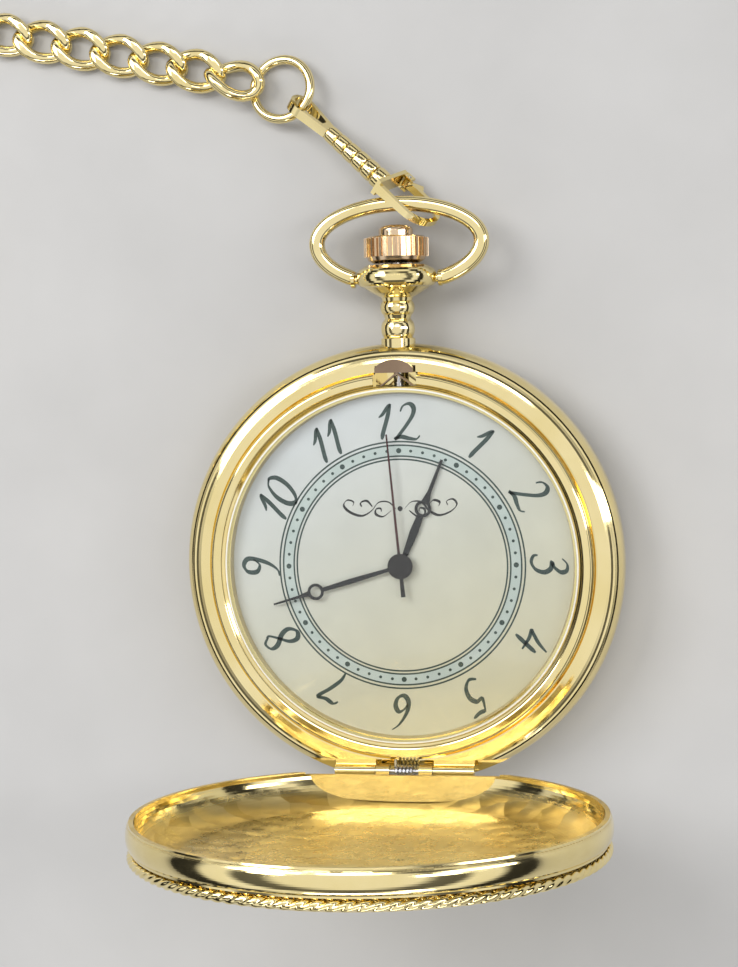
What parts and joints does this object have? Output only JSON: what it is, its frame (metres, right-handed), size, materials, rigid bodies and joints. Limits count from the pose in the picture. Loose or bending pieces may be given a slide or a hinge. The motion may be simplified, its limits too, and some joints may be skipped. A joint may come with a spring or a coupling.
{
  "type": "pocket watch",
  "caption": "Gold-coloured hunter pocket watch lying on its back with the lid open upright, with bow, clasp and curb chain.",
  "frame": {"origin": "centre of the flat back face that the watch rests on", "axes": "+Z out of the dial, +Y towards the pendant at 12 o'clock, +X towards 3 o'clock"},
  "size_m": [0.1356, 0.0971, 0.0545],
  "materials": {
    "gold": "polished yellow gold plate",
    "pink_gold": "polished rose gold plate",
    "inner_gold": "satin gilt, hand-finished inside of the lid",
    "movement_brass": "fine satin brass",
    "steel": "satin steel",
    "bright_steel": "polished steel",
    "magnet": "sintered magnet",
    "copper": "enamelled copper winding",
    "board": "green circuit board",
    "chip": "black encapsulation",
    "dial_white": "pearl white lacquer with printed track and numerals",
    "rehaut": "satin champagne",
    "hand_black": "gloss black lacquer",
    "hand_red": "gloss dark red lacquer",
    "crystal": "clear mineral glass",
    "clear_plastic": "translucent nylon",
    "holder": "moulded plastic",
    "black_rubber": "matte rubber"
  },
  "bodies": {
    "watch": {"case_middle": "gold", "case_back": "gold", "back_gasket": "black_rubber", "bezel": "gold", "crystal": "crystal", "crystal_gasket": "clear_plastic", "rehaut_ring": "rehaut", "dial": "dial_white", "movement_ring": "holder", "mainplate": "movement_brass", "train_bridge": "movement_brass", "bridge_screws": "steel", "battery": "steel", "battery_strap": "movement_brass", "strap_screw": "steel", "circuit_board": "board", "circuit_chip": "chip", "quartz_can": "bright_steel", "coil": "copper", "coil_core": "steel", "stator": "steel", "latch_spring": "pink_gold", "pendant": "gold", "hinge_pin": "steel", "lid_spring": "steel"},
    "lid": {"lid": "inner_gold", "lid_rope_edge": "gold"},
    "latch": {"latch": "pink_gold"},
    "crown": {"crown": "pink_gold", "stem": "steel", "button_spring": "steel"},
    "clutch": {"clutch_wheel": "steel"},
    "button": {"push_button": "pink_gold", "button_sleeve": "steel"},
    "setting_lever": {"setting_lever": "steel"},
    "rotor": {"rotor": "magnet"},
    "fifth_wheel": {"fifth_wheel": "movement_brass"},
    "seconds": {"fourth_wheel": "movement_brass", "second_hand": "hand_red"},
    "third_wheel": {"third_wheel": "movement_brass"},
    "minutes": {"centre_wheel": "movement_brass", "minute_hand": "hand_black"},
    "minute_wheel": {"minute_wheel": "movement_brass"},
    "hours": {"hour_wheel": "movement_brass", "hour_hand": "hand_black"},
    "bow": {"bow": "gold"},
    "clasp": {"clasp_body": "gold", "gate_pin": "steel"},
    "gate": {"clasp_gate": "gold"},
    "jump_ring": {"jump_ring": "gold"},
    "chain": {"chain": "gold", "chain_coil": "gold", "chain_end_ring": "gold"},
    "toggle": {"toggle_bar": "gold"}
  },
  "joints": [
    {"name": "lid_hinge", "type": "hinge", "parent": "watch", "child": "lid", "pos_m": [0, -0.02275, 0.0076], "axis": [1, 0, 0], "range_deg": [-88, 0], "stiffness_Nm_per_rad": 0.0025, "springref_deg": 28.65, "deforming": ["lid_spring"]},
    {"name": "crown_pull", "type": "slide", "parent": "clutch", "child": "crown", "axis": [0, 1, 0], "range_m": [0, 0.0006]},
    {"name": "crown_turn", "type": "hinge", "parent": "watch", "child": "clutch", "pos_m": [0, 0.01, 0.0048], "axis": [0, 1, 0], "continuous": true},
    {"name": "button_press", "type": "slide", "parent": "crown", "child": "button", "axis": [0, -1, 0], "range_m": [0, 0.0008], "stiffness_N_per_m": 400, "springref_m": -0.0005, "deforming": ["button_spring"]},
    {"name": "latch_slide", "type": "slide", "parent": "watch", "child": "latch", "axis": [0, -1, 0], "range_m": [0, 0.0008], "deforming": ["latch_spring"]},
    {"name": "setting_lever_turn", "type": "hinge", "parent": "watch", "child": "setting_lever", "pos_m": [0.003, 0.0123, 0.0054], "axis": [0, 0, 1], "range_deg": [-12.5, 0]},
    {"name": "seconds_turn", "type": "hinge", "parent": "watch", "child": "seconds", "pos_m": [0, 0, 0.002], "axis": [0, 0, 1], "continuous": true},
    {"name": "rotor_turn", "type": "hinge", "parent": "watch", "child": "rotor", "pos_m": [0.00464, -0.00618, 0.002], "axis": [0, 0, 1], "continuous": true},
    {"name": "fifth_wheel_turn", "type": "hinge", "parent": "watch", "child": "fifth_wheel", "pos_m": [0.00345, -0.00289, 0.002], "axis": [0, 0, 1], "continuous": true},
    {"name": "third_wheel_turn", "type": "hinge", "parent": "watch", "child": "third_wheel", "pos_m": [-0.00399, -0.00145, 0.002], "axis": [0, 0, 1], "continuous": true},
    {"name": "minutes_turn", "type": "hinge", "parent": "watch", "child": "minutes", "pos_m": [0, 0, 0.004], "axis": [0, 0, 1], "continuous": true},
    {"name": "minute_wheel_turn", "type": "hinge", "parent": "watch", "child": "minute_wheel", "pos_m": [0, 0.003, 0.005], "axis": [0, 0, 1], "continuous": true},
    {"name": "hours_turn", "type": "hinge", "parent": "watch", "child": "hours", "pos_m": [0, 0, 0.006], "axis": [0, 0, 1], "continuous": true},
    {"name": "bow_swing", "type": "hinge", "parent": "watch", "child": "bow", "pos_m": [0, 0.03155, 0.0048], "axis": [1, 0, 0], "range_deg": [-90, 90]},
    {"name": "clasp_swing", "type": "hinge", "parent": "bow", "child": "clasp", "pos_m": [0.0013, 0.03973, 0.0048], "axis": [1, 0, 0], "range_deg": [-30, 30]},
    {"name": "gate_swing", "type": "hinge", "parent": "clasp", "child": "gate", "pos_m": [0.00089, 0.04222, 0.00185], "axis": [-0.5491, -0.6955, -0.4634], "range_deg": [0, 18], "stiffness_Nm_per_rad": 0.00001, "springref_deg": -28.65},
    {"name": "ring_swing", "type": "hinge", "parent": "clasp", "child": "jump_ring", "pos_m": [-0.01065, 0.05094, 0.00215], "axis": [-0.6839, -0.7296, 0], "range_deg": [-30, 30]},
    {"name": "chain_swing", "type": "hinge", "parent": "jump_ring", "child": "chain", "pos_m": [-0.01662, 0.05436, 0.0007], "axis": [-0.2599, -0.9656, 0], "range_deg": [-30, 30]},
    {"name": "toggle_swing", "type": "hinge", "parent": "chain", "child": "toggle", "pos_m": [-0.07714, 0.05025, 0.00125], "axis": [-0.9936, 0.1132, 0], "range_deg": [-60, 60]}
  ],
  "couplings": [
    {"joint": "latch_slide", "follows": "button_press", "ratio": 1},
    {"joint": "setting_lever_turn", "follows": "crown_pull", "rad_per_m": -351.7},
    {"joint": "fifth_wheel_turn", "follows": "seconds_turn", "ratio": -5},
    {"joint": "rotor_turn", "follows": "seconds_turn", "ratio": 30},
    {"joint": "third_wheel_turn", "follows": "seconds_turn", "ratio": -0.13333},
    {"joint": "minutes_turn", "follows": "seconds_turn", "ratio": 0.016667},
    {"joint": "minute_wheel_turn", "follows": "seconds_turn", "ratio": -0.0055556},
    {"joint": "hours_turn", "follows": "seconds_turn", "ratio": 0.0013889}
  ]
}
